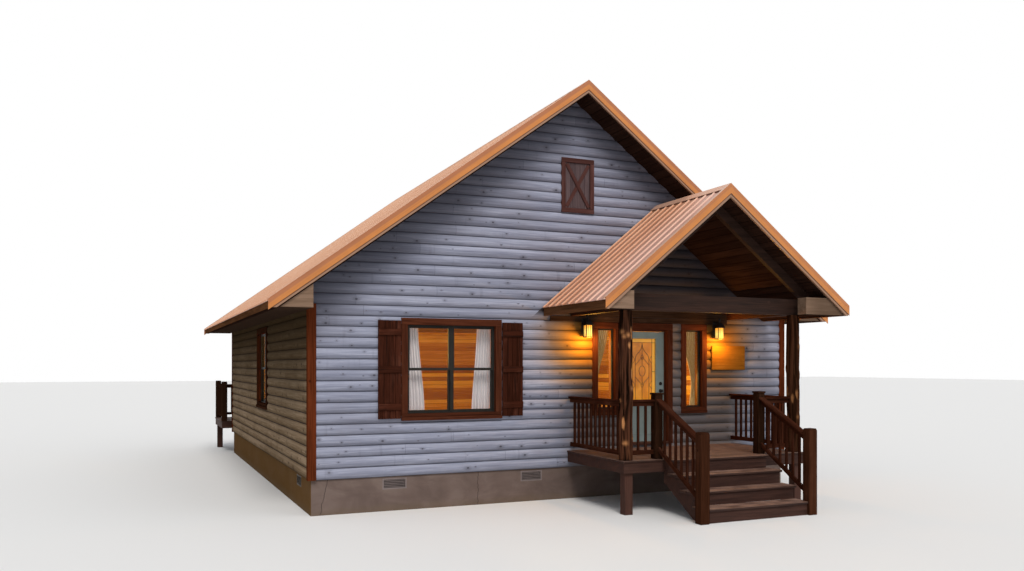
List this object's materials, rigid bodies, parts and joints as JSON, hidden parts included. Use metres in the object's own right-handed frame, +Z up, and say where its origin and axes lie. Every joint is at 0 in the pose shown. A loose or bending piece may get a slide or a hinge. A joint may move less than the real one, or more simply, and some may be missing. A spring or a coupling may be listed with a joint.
{
  "type": "log cabin",
  "caption": "Log-sided cabin on a stem-wall foundation, with a ribbed metal gable roof, a timber porch with log posts and stair, a rear deck, and a hinged front door.",
  "frame": {"origin": "on the ground under the middle of the front foundation wall", "axes": "+X to the right seen from the front, +Y from the front to the back along the ridge, +Z up"},
  "size_m": [10.6084, 15.5535, 7.1661],
  "materials": {
    "log_siding": "blue-grey weathered half logs, faint seams and knots",
    "trim_wood": "dark red-brown stained boards",
    "sash_paint": "dark bronze sash frames",
    "soffit_wood": "dark stained roof boards",
    "deck_wood": "weathered brown deck boards",
    "rail_wood": "red-brown stained railing timber",
    "beam_wood": "hewn brown beams with knots",
    "cedar_log": "peeled cedar log, gnarled, with pale knots",
    "floor_wood": "warm pine boards",
    "foundation_stone": "rendered concrete with hairline cracks",
    "vent_metal": "dark painted vent grilles",
    "roof_metal": "copper-toned ribbed metal roofing",
    "trim_metal": "copper-orange folded metal trim",
    "door_paint": "pale grey-green painted door leaf",
    "leaded_glass": "amber leaded glass",
    "window_glass": "clear glass",
    "lamp_glass": "glowing amber lantern glass",
    "dark_metal": "matt black",
    "curtain_cloth": "white and straw cotton curtains",
    "plaque_wood": "bare varnished pine board"
  },
  "bodies": {
    "root": {"attic_floor": "floor_wood", "back_gable": "log_siding", "back_wall": "log_siding", "bargeboards_left": "trim_wood", "bargeboards_right": "trim_wood", "corner_boards": "trim_wood", "curtain_rods": "dark_metal", "curtains": "curtain_cloth", "deck_boards": "deck_wood", "deck_frames": "deck_wood", "deck_posts": "deck_wood", "door_casing": "trim_wood", "door_frame": "trim_wood", "eave_boxes": "soffit_wood", "fascias": "trim_wood", "floor": "floor_wood", "foundation_ends": "foundation_stone", "foundation_sides": "foundation_stone", "foundation_vents": "vent_metal", "front_gable": "log_siding", "front_wall_left": "log_siding", "front_wall_over_door": "log_siding", "front_wall_right": "log_siding", "front_wall_under_door": "log_siding", "gable_hatch": "trim_wood", "jamb_hinges": "dark_metal", "lantern_glass": "lamp_glass", "lanterns": "dark_metal", "left_wall": "log_siding", "log_posts": "cedar_log", "newel_posts": "rail_wood", "porch_front_beam": "beam_wood", "porch_roof_left": "soffit_wood", "porch_roof_right": "soffit_wood", "porch_side_beams": "beam_wood", "porch_truss": "beam_wood", "railings": "rail_wood", "rake_trims": "trim_metal", "rear_door": "door_paint", "rear_door_frame": "trim_wood", "ridge_caps": "roof_metal", "right_wall": "log_siding", "roof_left": "soffit_wood", "roof_metal_left": "roof_metal", "roof_metal_right": "roof_metal", "roof_right": "soffit_wood", "shutters": "trim_wood", "stair_carriage": "deck_wood", "stair_rails": "rail_wood", "stair_treads": "deck_wood", "threshold": "trim_wood", "wall_plaque": "plaque_wood", "window_casings": "trim_wood", "window_glass": "window_glass", "window_sashes": "sash_paint"},
    "door": {"door": "door_paint", "door_glass": "leaded_glass", "door_hardware": "dark_metal"}
  },
  "joints": [
    {"name": "front_door", "type": "hinge", "parent": "root", "child": "door", "pos_m": [0.976, 0.002, 1.933], "axis": [0, 0, 1], "range_deg": [0, 100]}
  ]
}
